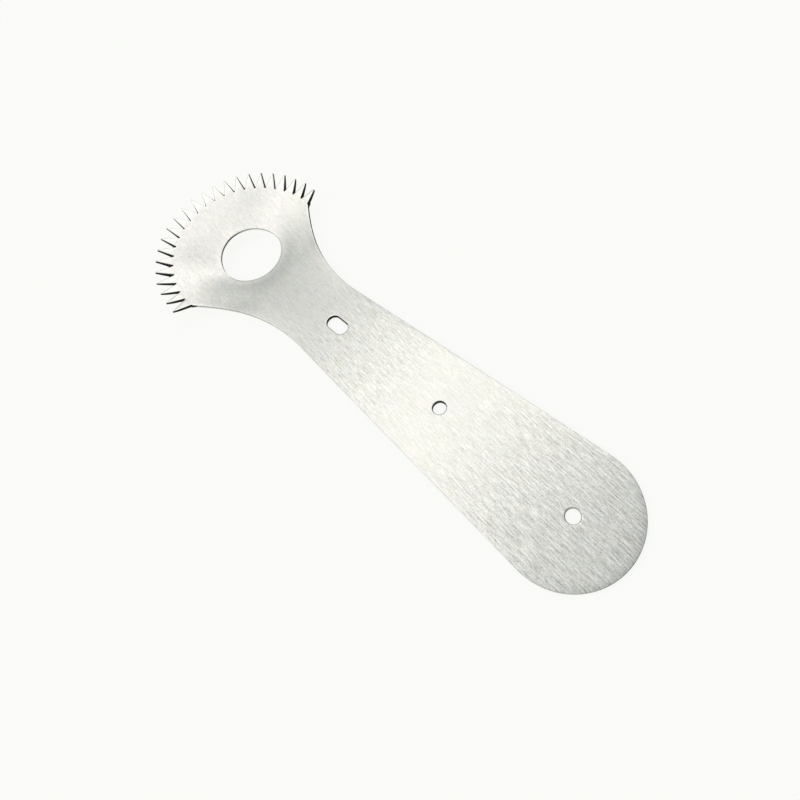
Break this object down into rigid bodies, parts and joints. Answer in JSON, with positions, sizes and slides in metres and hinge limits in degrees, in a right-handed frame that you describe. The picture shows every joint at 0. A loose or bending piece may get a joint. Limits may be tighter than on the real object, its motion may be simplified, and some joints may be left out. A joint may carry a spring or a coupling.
{
  "type": "coconut scraper blade",
  "caption": "Stamped sheet-steel scraper blade: round dished head with pointed teeth and a large hole, waisted neck, flat body with a slot and fixing holes, round tail.",
  "frame": {"origin": "middle of the length and width of the blade, on the plane of the flat body's underside", "axes": "+X along the blade from the round tail to the toothed head, +Y across the blade, +Z out of the hollow side of the dished head"},
  "size_m": [0.2312, 0.0796, 0.0134],
  "materials": {
    "steel": "brushed along the blade, cut edges dark"
  },
  "bodies": {
    "root": {"scraper_blade": "steel"}
  },
  "joints": []
}
